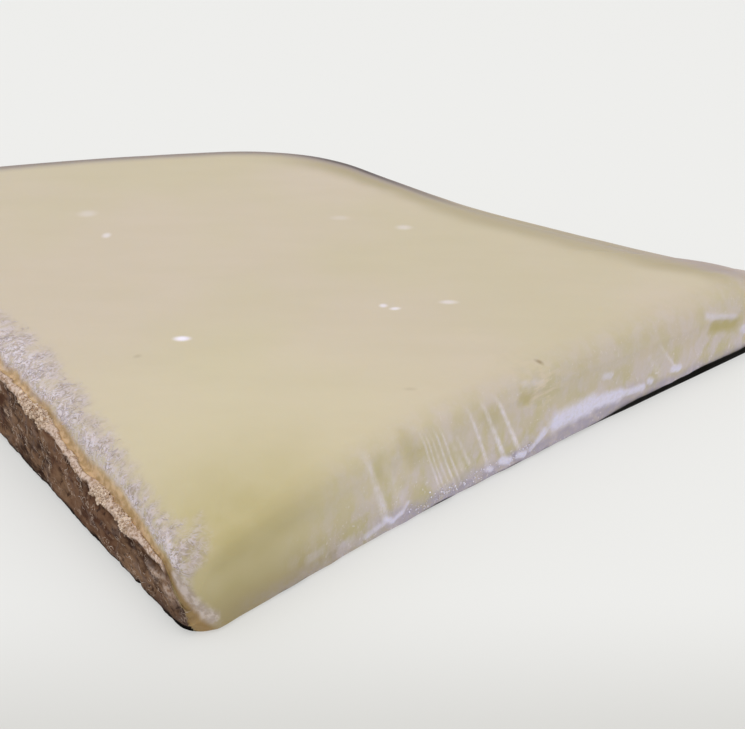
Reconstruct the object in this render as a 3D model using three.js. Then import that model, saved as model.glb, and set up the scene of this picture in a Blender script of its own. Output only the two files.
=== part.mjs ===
// A flat slab of gruyere cheese lying on its broad cut face, with rind along its left side only.
// Millimetres, +Z up. The origin is the centre of the bounding box's underside.
// In plan, +X runs along the front side and +Y runs back along the rind side.
import * as THREE from 'three';

// Driving dimensions
const THICKNESS = 17.1;

// Plan corners before centring, with the distance at which each corner starts to round and
// the part of the corner over which one side's profile turns into the next side's
const NEAR = { x: -0.5, y: -0.9, round: 4, blend: [0.3, 1] };
const RIGHT = { x: 123, y: -1.6, round: 6, blend: [0, 1] };
const BACK = { x: 91.9, y: 97, round: 18, blend: [0, 1] };
const LEFT = { x: 3.9, y: 142.8, round: 7, blend: [0, 0.7] };

// The front side swells out beside the near corner
const HEEL_OUT = 0.8;
const HEEL_PLACE = 6;
const HEEL_REACH = 20;

// The right side is hollowed in plan
const RIGHT_BOW = -4.6;

// Front and right sides: knife-cut, standing nearly upright on a small foot radius
const FOOT_WIDTH = 0.8;
const FOOT_HEIGHT = 0.9;
const SHOULDER_WIDTH = 2.2;
const SHOULDER_DROP = 1.9;
const SOFT_SHOULDER_WIDTH = 7.0;
const SOFT_SHOULDER_DROP = 5.4;

// Towards the right corner the foot is set back below a lip
const RECESS_DEPTH = 0.25;
const RECESS_HEIGHT = 0.95;

// Top face: it droops towards the near corner and towards the right corner,
// and rolls off along the right side
const NEAR_DROOP = 3.1;
const NEAR_DROOP_REACH = 17;
const RIGHT_DROOP = 1.3;
const RIGHT_DROOP_REACH = 28;
const ROLL_OFF_DROP = 1.8;
const ROLL_OFF_WIDTH = 13;
const TOP_WAVE = 0.12;

// Rind side: the height of the crumbly crust ridge, which falls towards the near corner,
// and the sloping band between the ridge and the top face
const CRUST_HEIGHT = 13.8;
const CRUST_HEIGHT_NEAR = 9.2;
const CRUST_FALL_START = 10;
const CRUST_FALL_END = 44;
const CRUST_DIP = 0.7;
const CRUST_DIP_PLACE = 28;
const CRUST_DIP_REACH = 5;
const CRUST_HEIGHT_END = 1.6;
const CRUST_END = -1.5;
const CRUST_END_LENGTH = 6.6;
const CRUST_STAND = 0.45;
const CRAG_SIZE = 0.42;
const RIND_LUMP = 0.3;
const BAND_WIDTH = 4.6;
const BAND_DROP = 0.6;
// The ridge and the band narrow towards the near corner, over this stretch of the rind side
const CORNER_BAND_WIDTH = 2.3;
const CORNER_START = 1.0;
const CORNER_END = 13.0;

// Mesh: the rings of the top face shrink by these factors, and some have half the columns,
// so each side and the corner after it have a multiple of COLUMN_GROUP columns
const SIDE_ROWS = 13;
const TOP_RINGS = [0.93, 0.84, 0.72, 0.56, 0.38, 0.18];
const HALVING_RINGS = [0.84, 0.56, 0.38];
const COLUMN_GROUP = 2 ** HALVING_RINGS.length;
const CORNER_COLUMNS = COLUMN_GROUP - 1;

function clamp01(v) {
  return Math.min(1, Math.max(0, v));
}

function smoothstep(a, b, v) {
  const t = clamp01((v - a) / (b - a));
  return t * t * (3 - 2 * t);
}

function lerp(a, b, t) {
  return a + (b - a) * t;
}

function bell(distance, reach) {
  return Math.exp(-((distance / reach) ** 2));
}

// Smooth noise in -1..1 along a line, the same each time for the same seed
function hash(i, seed) {
  const v = Math.sin(i * 127.1 + seed * 311.7) * 43758.5453;
  return 2 * (v - Math.floor(v)) - 1;
}

function noise(v, seed) {
  const i = Math.floor(v);
  const f = v - i;
  return lerp(hash(i, seed), hash(i + 1, seed), f * f * (3 - 2 * f));
}

// Top face height at a plan point
function topHeight(x, y) {
  const fromNear = Math.hypot(x - NEAR.x, y - NEAR.y);
  const fromRight = Math.hypot(x - RIGHT.x, y - RIGHT.y);
  const alongRight = clamp01((BACK.y - y) / (BACK.y - RIGHT.y));
  const rightEdge = lerp(BACK.x, RIGHT.x, alongRight) + RIGHT_BOW * Math.sin(Math.PI * alongRight);
  const roll = 1 - smoothstep(-1, ROLL_OFF_WIDTH, rightEdge - x);
  const wave = Math.sin(x / 17 + 0.8) * Math.cos(y / 23 + 0.3) + 0.6 * Math.sin(x / 41 + y / 13);
  return THICKNESS
    - NEAR_DROOP * bell(fromNear, NEAR_DROOP_REACH)
    - 0.5 * bell(fromNear, 2.4 * NEAR_DROOP_REACH)
    - RIGHT_DROOP * bell(fromRight, RIGHT_DROOP_REACH)
    - ROLL_OFF_DROP * smoothstep(0, 0.5, alongRight) * roll ** 2
    + TOP_WAVE * wave;
}

// Profiles: rows of [inset, z] from the underside up to where the top face starts

// A cut side, with its foot set back by the recess (0..1) and a shoulder between sharp and soft
function cutProfile(x, y, recess, soft, seed) {
  const top = topHeight(x, y);
  const lift = RECESS_HEIGHT * recess;
  const shoulderWidth = lerp(SHOULDER_WIDTH, SOFT_SHOULDER_WIDTH, soft);
  const shoulderDrop = lerp(SHOULDER_DROP, SOFT_SHOULDER_DROP, soft);
  const low = FOOT_HEIGHT + lift;
  const high = top - shoulderDrop;
  const rows = [
    [FOOT_WIDTH * (1 - 0.38 * recess), 0],
    [0.3 * FOOT_WIDTH + RECESS_DEPTH * recess, 0.35 * FOOT_HEIGHT * (1 + recess) + lift],
  ];
  const faceRows = SIDE_ROWS - 5;
  for (let k = 0; k < faceRows; k++) {
    const t = k / (faceRows - 1);
    const ripple = 0.16 * noise((x + y) / 7 + 3 * t, seed);
    rows.push([ripple * Math.sin(Math.PI * t), lerp(low, high, t)]);
  }
  for (let k = 1; k <= 3; k++) {
    const angle = (k / 3) * (Math.PI / 2);
    const inset = shoulderWidth * (1 - Math.cos(angle));
    rows.push([inset, high + shoulderDrop * Math.sin(angle)]);
  }
  return rows;
}

// Height of the crust ridge along the rind side, which runs down to the floor at the near corner
function crustHeight(y) {
  const rise = smoothstep(CRUST_FALL_START, CRUST_FALL_END, y);
  const dip = CRUST_DIP * bell(y - CRUST_DIP_PLACE, CRUST_DIP_REACH);
  const height = lerp(CRUST_HEIGHT_NEAR, CRUST_HEIGHT, rise) - dip + 0.25 * noise(y / 9, 5);
  return lerp(CRUST_HEIGHT_END, height, smoothstep(CRUST_END, CRUST_END + CRUST_END_LENGTH, y));
}

// The rind side: lumpy rind, a crumbly ridge, a shallow groove, then the sloping band
function rindProfile(x, y) {
  const ridge = crustHeight(y);
  const top = topHeight(x, y) - BAND_DROP;
  const full = smoothstep(CORNER_START, CORNER_END, y);
  const crag = full * CRAG_SIZE * (0.7 * noise(y / 2.6, 1) + 0.3 * noise(y / 1.5, 2));
  const chip = full * CRAG_SIZE * noise(y / 2.1, 3);
  const rows = [
    [0.9, 0],
    [0.25, 0.5],
    [0, 1.3],
  ];
  for (let k = 1; k <= 3; k++) {
    const t = k / 4;
    const lump = RIND_LUMP * noise(y / 6 + 7 * k, 10 + k);
    rows.push([lump - 0.25 * Math.sin(Math.PI * t), lerp(1.3, ridge - 1, t)]);
  }
  rows.push([0.15 + 0.5 * crag, ridge - 1.0]);
  rows.push([-CRUST_STAND * full + crag, ridge - 0.45 + 0.4 * chip]);
  rows.push([lerp(0.05, 0.25, full) + 0.7 * crag, ridge + 0.35 + 0.6 * chip]);
  rows.push([lerp(0.1, 1.1, full) + 0.3 * chip, ridge + 0.45]);
  rows.push([lerp(0.2, 1.6, full), lerp(ridge + 0.45, top, 0.32)]);
  rows.push([lerp(0.7, 2.6, full), lerp(ridge + 0.45, top, 0.72)]);
  rows.push([lerp(CORNER_BAND_WIDTH, BAND_WIDTH, full), top]);
  return rows;
}

// How far the foot is set back along the front side
function frontRecess(x) {
  const start = 0.2 * smoothstep(62, 78, x);
  return start + 0.55 * smoothstep(78, 87, x) + 0.25 * smoothstep(94, 103, x);
}

// How soft the shoulders of the front and right sides are
function frontSoftness(x) {
  return 0.3 + 0.4 * smoothstep(8, 26, x) + 0.3 * smoothstep(60, 100, x);
}

function rightSoftness(y) {
  return 0.5 - 0.45 * smoothstep(10, 95, y);
}

// The four sides, anticlockwise from above. Bow is how far a side's middle stands out,
// sway bends it in an S and step is the spacing of its columns.
const SIDES = [
  {
    from: NEAR,
    to: RIGHT,
    heel: HEEL_OUT,
    bow: -1.45,
    sway: -0.15,
    step: 2.4,
    profile: (x, y) => cutProfile(x, y, frontRecess(x), frontSoftness(x), 21),
  },
  {
    from: RIGHT,
    to: BACK,
    bow: RIGHT_BOW,
    sway: 0.1,
    step: 3.6,
    profile: (x, y) => cutProfile(x, y, 1 - smoothstep(0, 34, y), rightSoftness(y), 22),
  },
  {
    from: BACK,
    to: LEFT,
    bow: 3.6,
    sway: 0.3,
    step: 3.6,
    profile: (x, y) => cutProfile(x, y, 0, 0, 23),
  },
  {
    from: LEFT,
    to: NEAR,
    bow: -0.2,
    sway: -0.3,
    step: 1.4,
    profile: rindProfile,
  },
];

// Plan point on a side, u from 0 to 1
function sidePoint(side, u) {
  const dx = side.to.x - side.from.x;
  const dy = side.to.y - side.from.y;
  const length = Math.hypot(dx, dy);
  const heel = side.heel ? side.heel * bell(length * u - HEEL_PLACE, HEEL_REACH) : 0;
  const out = side.bow * Math.sin(Math.PI * u) + side.sway * Math.sin(2 * Math.PI * u) + heel;
  return {
    x: side.from.x + dx * u + (dy / length) * out,
    y: side.from.y + dy * u - (dx / length) * out,
  };
}

function bezier(a, control, b, t) {
  const s = 1 - t;
  return {
    x: s * s * a.x + 2 * s * t * control.x + t * t * b.x,
    y: s * s * a.y + 2 * s * t * control.y + t * t * b.y,
  };
}

// The outline as columns, each with its plan point and its profile
function makeColumns() {
  const columns = [];
  SIDES.forEach((side, index) => {
    const next = SIDES[(index + 1) % SIDES.length];
    const length = Math.hypot(side.to.x - side.from.x, side.to.y - side.from.y);
    const nextLength = Math.hypot(next.to.x - next.from.x, next.to.y - next.from.y);
    const first = side.from.round / length;
    const last = 1 - side.to.round / length;
    const steps = ((last - first) * length) / side.step;
    const count = COLUMN_GROUP * Math.round(steps / COLUMN_GROUP);
    for (let i = 0; i <= count; i++) {
      const p = sidePoint(side, lerp(first, last, i / count));
      columns.push({ ...p, rows: side.profile(p.x, p.y) });
    }
    const start = sidePoint(side, last);
    const end = sidePoint(next, next.from.round / nextLength);
    for (let i = 1; i <= CORNER_COLUMNS; i++) {
      const t = i / (CORNER_COLUMNS + 1);
      const p = bezier(start, side.to, end, t);
      const before = side.profile(p.x, p.y);
      const after = next.profile(p.x, p.y);
      const blend = smoothstep(...side.to.blend, t);
      const rows = before.map((row, k) => [
        lerp(row[0], after[k][0], blend),
        lerp(row[1], after[k][1], blend),
      ]);
      columns.push({ ...p, rows });
    }
  });
  return columns;
}

// Moves a column's plan point inward by an inset measured square to the outline
function insetPoint(columns, i, inset, centre) {
  const a = columns[(i + columns.length - 1) % columns.length];
  const b = columns[(i + 1) % columns.length];
  const c = columns[i];
  const length = Math.hypot(b.x - a.x, b.y - a.y);
  const inX = -(b.y - a.y) / length;
  const inY = (b.x - a.x) / length;
  const toX = centre.x - c.x;
  const toY = centre.y - c.y;
  const scale = inset / (toX * inX + toY * inY);
  return { x: c.x + toX * scale, y: c.y + toY * scale };
}

function makeSlab() {
  const columns = makeColumns();
  const centre = {
    x: (NEAR.x + RIGHT.x + BACK.x + LEFT.x) / 4,
    y: (NEAR.y + RIGHT.y + BACK.y + LEFT.y) / 4,
  };
  const positions = [];
  const faces = [];
  const add = (x, y, z) => positions.push(x, y, z) / 3 - 1;

  // Side rows, from the underside to the rim of the top face
  let ring = [];
  for (let row = 0; row < SIDE_ROWS; row++) {
    const above = columns.map((column, i) => {
      const [inset, z] = column.rows[row];
      const p = insetPoint(columns, i, inset, centre);
      return add(p.x, p.y, z);
    });
    if (row === 0) {
      const middle = add(centre.x, centre.y, 0);
      above.forEach((v, i) => faces.push(middle, above[(i + 1) % above.length], v));
    } else {
      joinRings(ring, above, faces);
    }
    ring = above;
  }

  // Top face: rings shrinking towards the centre, some with half as many points
  const rim = ring.map((v) => ({ x: positions[3 * v], y: positions[3 * v + 1] }));
  let plan = rim;
  for (const scale of TOP_RINGS) {
    const halve = HALVING_RINGS.includes(scale);
    const kept = halve ? plan.filter((_, i) => i % 2 === 0) : plan;
    const inner = kept.map((p) => {
      const x = lerp(centre.x, p.x, scale);
      const y = lerp(centre.y, p.y, scale);
      return add(x, y, topHeight(x, y));
    });
    if (halve) {
      halveRings(ring, inner, faces);
    } else {
      joinRings(ring, inner, faces);
    }
    plan = kept;
    ring = inner;
  }
  const middle = add(centre.x, centre.y, topHeight(centre.x, centre.y));
  ring.forEach((v, i) => faces.push(middle, v, ring[(i + 1) % ring.length]));

  const geometry = new THREE.BufferGeometry();
  geometry.setAttribute('position', new THREE.Float32BufferAttribute(positions, 3));
  geometry.setIndex(faces);
  geometry.computeBoundingBox();
  const box = geometry.boundingBox;
  geometry.translate(-(box.min.x + box.max.x) / 2, -(box.min.y + box.max.y) / 2, -box.min.z);
  geometry.computeVertexNormals();
  return geometry;
}

function joinRings(lower, upper, faces) {
  lower.forEach((v, i) => {
    const n = (i + 1) % lower.length;
    faces.push(v, lower[n], upper[n], v, upper[n], upper[i]);
  });
}

function halveRings(outer, inner, faces) {
  inner.forEach((v, i) => {
    const a = outer[2 * i];
    const b = outer[2 * i + 1];
    const c = outer[(2 * i + 2) % outer.length];
    const w = inner[(i + 1) % inner.length];
    faces.push(a, b, v, v, b, w, b, c, w);
  });
}

const slab = new THREE.Mesh(
  makeSlab(),
  new THREE.MeshStandardMaterial({ color: 0xcfc1ae, roughness: 0.5, metalness: 0 }),
);
slab.name = 'cheese_slab';

const cheese = new THREE.Group();
cheese.add(slab);

export default cheese;
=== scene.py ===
"""A slab of gruyere cheese lying on a pale floor.

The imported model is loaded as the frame. One dense mesh with the same outline and profiles stands for
its single node, with the fine relief of the rind, the crust ridge and the knife-cut faces.
Shape sizes are millimetres in a plan frame whose origin is the near corner of the slab, with x along
the front side and y along the rind side. The mesh is moved to the frame of the part and scaled to
metres when it is made.
"""

import math

import bmesh
import bpy
import numpy as np
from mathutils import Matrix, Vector
from mathutils.geometry import delaunay_2d_cdt

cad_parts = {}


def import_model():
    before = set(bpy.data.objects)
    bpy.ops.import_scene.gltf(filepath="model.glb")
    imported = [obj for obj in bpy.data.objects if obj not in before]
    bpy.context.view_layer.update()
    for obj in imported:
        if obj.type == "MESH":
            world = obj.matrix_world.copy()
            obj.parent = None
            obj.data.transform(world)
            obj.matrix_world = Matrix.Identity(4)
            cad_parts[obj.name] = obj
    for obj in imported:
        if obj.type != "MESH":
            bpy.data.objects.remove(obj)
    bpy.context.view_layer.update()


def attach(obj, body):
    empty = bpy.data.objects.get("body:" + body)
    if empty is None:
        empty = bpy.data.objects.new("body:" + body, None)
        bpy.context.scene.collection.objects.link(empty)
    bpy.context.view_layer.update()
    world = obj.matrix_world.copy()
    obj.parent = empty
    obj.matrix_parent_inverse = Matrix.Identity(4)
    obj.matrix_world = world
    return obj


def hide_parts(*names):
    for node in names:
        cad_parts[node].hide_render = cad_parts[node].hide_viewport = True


MM = 0.001

# Plan of the slab: corners, with the distance at which each corner starts to round
NEAR = {"at": (-0.5, -0.9), "round": 4.0, "columns": 26, "blend": (0.3, 1.0)}
RIGHT = {"at": (123.0, -1.6), "round": 6.0, "columns": 14, "blend": (0.0, 1.0)}
BACK = {"at": (91.9, 97.0), "round": 18.0, "columns": 18, "blend": (0.0, 1.0)}
LEFT = {"at": (3.9, 142.8), "round": 7.0, "columns": 12, "blend": (0.0, 0.7)}
PLAN_MIDDLE = (60.12, 69.72)
RIGHT_BOW = -4.6
HEEL_OUT = 0.8
HEEL_PLACE = 6.0
HEEL_REACH = 20.0

# Upright cut sides
THICKNESS = 17.1
FOOT_WIDTH = 0.8
FOOT_HEIGHT = 0.9
SHOULDER_WIDTH = 2.2
SHOULDER_DROP = 1.9
SOFT_SHOULDER_WIDTH = 7.0
SOFT_SHOULDER_DROP = 5.4
RECESS_DEPTH = 0.25
RECESS_HEIGHT = 0.95

# Softness of the shoulders from 0 to 1 and how far the foot is set back, in steps: the distance along
# the side from which and up to which each step grows, and its size
FRONT_SOFTNESS = (0.3, ((8, 26, 0.4), (60, 100, 0.3)))
RIGHT_SOFTNESS = (0.5, ((10, 95, -0.45),))
FRONT_RECESS = (0.0, ((62, 78, 0.2), (78, 87, 0.55), (94, 103, 0.25)))
RIGHT_RECESS = (1.0, ((0, 34, -1.0),))

# Top face
NEAR_DROOP = 3.1
NEAR_DROOP_REACH = 17.0
RIGHT_DROOP = 1.3
RIGHT_DROOP_REACH = 28.0
ROLL_OFF_DROP = 1.8
ROLL_OFF_WIDTH = 13.0
TOP_WAVE = 0.12

# Rind side
CRUST_HEIGHT = 13.8
CRUST_HEIGHT_NEAR = 9.2
CRUST_FALL_START = 10.0
CRUST_FALL_END = 44.0
CRUST_DIP = 0.7
CRUST_DIP_PLACE = 28.0
CRUST_DIP_REACH = 5.0
CRUST_HEIGHT_END = 1.6
CRUST_END = -1.5
CRUST_END_LENGTH = 6.6
CRUST_STAND = 0.45
CRAG_SIZE = 0.42
RIND_LUMP = 0.3
BAND_WIDTH = 4.6
BAND_DROP = 0.6

# The band, ridge and crags narrow towards the near corner between these places along the rind
CORNER_BAND_WIDTH = 2.3
CORNER_START = 1.0
CORNER_END = 13.0

# Mesh: profile rows per interval between the 13 profile knots, then rows of the top zone. On a cut
# side the shoulder lies between the knots of SHOULDER_KNOTS.
KNOTS = 13
SHOULDER_KNOTS = (9.5, 11.5)
ROWS_PER_INTERVAL = (2, 2, 6, 7, 7, 7, 5, 6, 6, 5, 6, 6)
TOP_ZONE_WIDTH = 14.0
TOP_ZONE_ROWS = 13
TOP_GRID = 1.5
RIND_EDGE_KNOT = 8.5

# How far round the corners the edge of the rind runs down to the floor, and how far it is searched
EDGE_START = -2.2
EDGE_END = -0.4
EDGE_SEARCH = 14.0

# The sides by number
FRONT, RIGHT_SIDE, BACK_SIDE, RIND = range(4)

# Brushed strokes in the frosted band: the main direction in plan, and each way with its stretch
STROKE_TURN = 5.0
STROKE_WAYS = ((5.0, 1.9), (-40.0, 2.2))

# Loose grains and fibres
SEED = 11
CRUST_CRUMBS = 620
PASTE_CRUMBS = 150
RIND_FIBRES = 190
FROST_FIBRES = 300
FIBRE_STEP = 0.16
GRAIN_LIFT = 0.02

# Knife streaks on the front side: (x, z) at the top, (x, z) at the bottom, width, strength
STREAKS = (
    (28.7, 15.4, 32.4, 2.8, 1.1, 0.7),
    (31.5, 13.2, 35.0, 5.2, 1.5, 0.25),
    (38.4, 15.3, 42.9, 2.6, 0.30, 0.85),
    (39.1, 15.3, 43.7, 2.4, 0.26, 0.75),
    (40.0, 14.8, 44.7, 2.4, 0.30, 0.55),
    (41.0, 14.6, 45.8, 2.3, 0.32, 0.95),
    (42.0, 14.6, 47.0, 2.1, 0.30, 0.9),
    (43.6, 13.0, 47.9, 3.2, 0.8, 0.3),
    (45.4, 11.6, 48.6, 4.9, 0.5, 0.5),
    (47.6, 15.4, 52.8, 2.1, 0.55, 0.8),
    (50.4, 15.2, 56.1, 2.3, 0.75, 1.0),
    (53.2, 15.0, 59.5, 1.9, 0.72, 1.0),
    (89.7, 11.2, 95.3, 4.4, 0.45, 0.7),
    (87.4, 9.6, 91.4, 4.4, 1.2, 0.3),
)

# Smears of paste on the front side: (x, z) at each end, width, strength
SMEARS = (
    (61.5, 2.0, 62.9, 3.0, 0.55, 0.8),
    (62.9, 3.0, 64.4, 4.2, 0.75, 0.8),
    (66.9, 4.9, 74.9, 5.0, 1.9, 1.0),
    (74.9, 5.0, 81.7, 4.1, 1.35, 1.0),
    (81.7, 4.1, 87.3, 3.5, 0.8, 0.85),
    (32.2, 2.9, 33.6, 1.9, 0.55, 0.9),
    (33.6, 1.9, 35.4, 2.6, 0.5, 0.85),
    (35.4, 2.6, 36.4, 3.8, 0.4, 0.6),
    (18.6, 3.5, 20.4, 3.6, 0.9, 0.18),
    (24.0, 2.6, 26.0, 2.9, 0.7, 0.18),
    (28.6, 1.8, 32.0, 2.4, 0.6, 0.55),
    (52.3, 2.3, 53.2, 1.9, 0.55, 0.8),
    (55.3, 2.6, 56.9, 2.0, 0.75, 1.0),
    (58.8, 2.1, 60.2, 1.7, 0.65, 1.0),
    (88.6, 4.3, 89.3, 3.9, 0.7, 0.7),
    (94.6, 4.4, 96.2, 4.0, 0.8, 0.9),
    (102.2, 11.7, 109.8, 9.4, 0.65, 0.45),
    (112.8, 6.2, 114.4, 5.2, 0.8, 0.6),
    (77.4, 9.1, 78.8, 8.7, 0.7, 0.55),
    (59.4, 14.2, 63.2, 13.3, 0.5, 0.3),
)

# Yellowish hollows on the front side: (x, z) at each end, width, strength
PITS = (
    (104.4, 8.9, 110.4, 7.5, 1.6, 0.8),
    (58.9, 11.9, 60.4, 11.4, 1.2, 0.6),
    (52.0, 12.0, 53.0, 10.5, 1.7, 0.3),
    (36.2, 14.0, 37.6, 10.6, 1.9, 0.4),
    (30.8, 12.5, 31.6, 9.5, 1.6, 0.25),
)

# A pale mauve stripe down the near corner: (distance past the corner, z) at each end, width
CORNER_STRIPE = (-2.8, 8.6, 1.7, 2.7, 1.1)

# A scuffed patch on the front side: x, z, reach
SCUFF = (63.0, 12.3, 2.9)

# Shape of the rind below the near end of the crust: (y, z) at each end, width, height
RIND_FOLDS = (
    (8.8, 7.0, 6.6, 6.7, 0.35, 0.26),
    (6.6, 6.7, 3.6, 7.4, 0.42, 0.36),
    (10.6, 8.1, 6.6, 7.9, 0.55, -0.20),
    (3.4, 6.2, 2.2, 5.4, 0.9, 0.25),
)

# Width of the crust: (y, width)
CRUST_WIDTHS = (
    (3.0, 0.7),
    (10.5, 0.9),
    (12.0, 1.4),
    (15.0, 1.8),
    (18.5, 1.3),
    (20.5, 2.2),
    (22.5, 1.7),
    (24.2, 0.8),
    (28.5, 1.2),
    (31.0, 0.85),
    (34.0, 1.0),
    (36.5, 1.5),
    (39.5, 2.3),
    (43.0, 1.6),
    (49.0, 1.1),
    (140.0, 1.3),
)
CRUST_MIDDLE = -0.3

# Where the crust ends by the near corner, as distances past it, and heights of the painted shade at
# the foot of the rind and of its painted black shadow line
CRUST_STOP = (-6.0, -4.6)
FOOT_SHADE = 2.2
SOLE_HEIGHT = 1.05

# Width of the golden line, and where the frost fades along the rind
AMBER_WIDTH = 1.55
FROST_FADES = (52, 85)

# Distance from the edge of the rind to the outer edge of the frost: (y, distance) along the rind,
# and (z, distance) where the frost turns down the near corner
FROST_ALONG = (
    (0.0, 6.0),
    (3.0, 5.6),
    (9.0, 5.4),
    (13.0, 5.6),
    (18.0, 6.1),
    (23.0, 7.1),
    (31.0, 6.8),
    (42.0, 6.8),
    (52.0, 7.8),
    (70.0, 6.6),
    (140.0, 6.2),
)
FROST_DOWN = ((0.0, 3.2), (4.1, 2.9), (6.5, 2.0), (8.9, 3.5), (11.8, 6.7), (13.5, 7.7))

# The far rims from the right corner to the back corner: (y, distance from the outline at which the
# top drops out of the viewer's sight), and the strengths of the painted dark shade line, mauve sheen
# and olive shade bands
FAR_RIM = (
    (4.0, 6.3, 0.08, 0.8, 0.75),
    (11.0, 7.6, 0.08, 0.8, 0.8),
    (22.0, 7.0, 0.05, 0.4, 0.75),
    (42.0, 6.4, 0.05, 0.2, 0.8),
    (53.0, 4.9, 0.12, 0.35, 0.85),
    (66.0, 2.9, 0.5, 0.8, 1.0),
    (78.0, 2.2, 1.0, 1.0, 1.0),
    (86.0, 2.2, 1.0, 1.0, 0.9),
    (97.0, 2.2, 0.45, 0.8, 0.35),
)

# Specks on the top face: (x, y), half length and half width, turn in degrees, strength
TOP_SPECKS = (
    (25.5, 40.6, 1.9, 1.2, -40.0, 1.0),
    (35.4, 82.3, 1.2, 1.7, -40.0, 0.45),
    (37.5, 93.5, 2.6, 2.4, -40.0, 0.22),
    (79.3, 50.7, 2.2, 1.6, -40.0, 0.3),
    (72.9, 61.5, 2.6, 1.6, -40.0, 0.15),
    (65.3, 23.4, 2.2, 1.1, -40.0, 0.40),
    (56.3, 29.2, 1.0, 1.0, -40.0, 0.6),
    (57.1, 27.2, 1.3, 0.8, -30.0, 0.65),
    (5.6, 51.4, 1.1, 1.0, 0.0, 0.8),
)
DARK_SPECKS = (
    (17.5, 40.2, 1.0, 0.8, 0.0, 0.22),
    (42.6, 6.9, 1.4, 0.7, -40.0, 0.16),
    (64.0, 1.9, 1.2, 0.5, -40.0, 0.8),
)
SPECK_DEPTH = 4.0

# The middle of the yellower paste by the near corner, the way the mottle of the paste runs in plan,
# and how dull the paste is
NEAR_CORNER_AT = (8.0, 4.0)
MOTTLE_TURN = -39.58
PASTE_ROUGHNESS = 0.46

# The camera, in the plan frame
CAMERA_AT = (-54.9, -102.58, 105.6)
CAMERA_HEADING = 39.58
CAMERA_PITCH = 30.0
CAMERA_LENS = 57.99

# The floor, in metres, and how far from the camera, in millimetres, a painted falloff of light darkens
# it towards the viewer. Part of its light it gives off itself, which keeps shadows weak.
FLOOR_SIZE = 6.0
LIGHT_FALLOFF_NEAR = 84.0
LIGHT_FALLOFF_FAR = 124.0
FLOOR_NEAR = (203, 202, 198)
FLOOR_FAR = (229, 229, 227)
FLOOR_GLOW = 0.55
FULL_GLOW = 1.08

# The light above the slab, in metres and watts, and the even light from all round
LIGHT_AT = (-0.10, -0.15, 1.1)
LIGHT_SIZE = 0.9
LIGHT_POWER = 3.0
LIGHT_TINT = (1.0, 0.995, 0.98)
SKY_STRENGTH = 0.90


def smoothstep(a, b, v):
    t = np.clip((v - a) / (b - a), 0.0, 1.0)
    return t * t * (3.0 - 2.0 * t)


def lerp(a, b, t):
    return a + (b - a) * t


def fall(a, b, v):
    return 1.0 - smoothstep(a, b, v)


def bell(distance, reach):
    return np.exp(-((distance / reach) ** 2))


def in_steps(first, steps, v):
    """A value that starts at the first one and changes by each (from, to, size) step."""
    return first + sum(size * smoothstep(a, b, v) for a, b, size in steps)


def from_table(table, v):
    """The values of a table whose first column is a place, at the places v."""
    places, *columns = zip(*table)
    values = [np.interp(v, places, column) for column in columns]
    return values if len(values) > 1 else values[0]


# Noise


def hash_line(i, seed):
    v = np.sin(i * 127.1 + seed * 311.7) * 43758.5453
    return 2.0 * (v - np.floor(v)) - 1.0


def noise_line(v, seed):
    """Smooth noise in -1..1 along a line, the same as in the solid."""
    i = np.floor(v)
    f = v - i
    return lerp(hash_line(i, seed), hash_line(i + 1, seed), f * f * (3.0 - 2.0 * f))


def hash_cell(cell, seed):
    h = cell[..., 0] * 374761393 + cell[..., 1] * 668265263 + cell[..., 2] * 1442695041
    h = (h + seed * 974634777) & 0xFFFFFFFF
    h = ((h ^ (h >> 13)) * 1274126177) & 0xFFFFFFFF
    h = ((h ^ (h >> 15)) * 2246822519) & 0xFFFFFFFF
    return ((h ^ (h >> 16)) & 0xFFFF) / 32767.5 - 1.0


def noise(points, size, seed):
    """Smooth noise in -1..1 at points, with a cell of that size along each axis."""
    scaled = points / np.asarray(size, float)
    cell = np.floor(scaled).astype(np.int64)
    f = scaled - cell
    f = f * f * (3.0 - 2.0 * f)
    total = 0.0
    for corner in np.ndindex(2, 2, 2):
        offset = np.array(corner)
        weight = np.prod(np.where(offset, f, 1.0 - f), axis=-1)
        total = total + weight * hash_cell(cell + offset, seed)
    return total


def fractal(points, size, seed, octaves=3):
    size = np.asarray(size, float)
    total, weight, full = 0.0, 1.0, 0.0
    for k in range(octaves):
        total = total + weight * noise(points, size / 2**k, seed + 17 * k)
        full += weight
        weight *= 0.55
    return total / full


# Shape of the slab


def top_height(x, y):
    from_near = np.hypot(x - NEAR["at"][0], y - NEAR["at"][1])
    from_right = np.hypot(x - RIGHT["at"][0], y - RIGHT["at"][1])
    along = np.clip((BACK["at"][1] - y) / (BACK["at"][1] - RIGHT["at"][1]), 0.0, 1.0)
    edge = lerp(BACK["at"][0], RIGHT["at"][0], along) + RIGHT_BOW * np.sin(np.pi * along)
    roll = 1.0 - smoothstep(-1.0, ROLL_OFF_WIDTH, edge - x)
    wave = np.sin(x / 17 + 0.8) * np.cos(y / 23 + 0.3) + 0.6 * np.sin(x / 41 + y / 13)
    return (
        THICKNESS
        - NEAR_DROOP * bell(from_near, NEAR_DROOP_REACH)
        - 0.5 * bell(from_near, 2.4 * NEAR_DROOP_REACH)
        - RIGHT_DROOP * bell(from_right, RIGHT_DROOP_REACH)
        - ROLL_OFF_DROP * smoothstep(0.0, 0.5, along) * roll**2
        + TOP_WAVE * wave
    )


def knots(rows):
    """A list of (inset, z) pairs of numbers or arrays as one array of shape knots, columns, 2."""
    flat = np.broadcast_arrays(*[v for row in rows for v in row])
    return np.stack([np.stack(flat[k : k + 2], -1) for k in range(0, len(flat), 2)])


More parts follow.
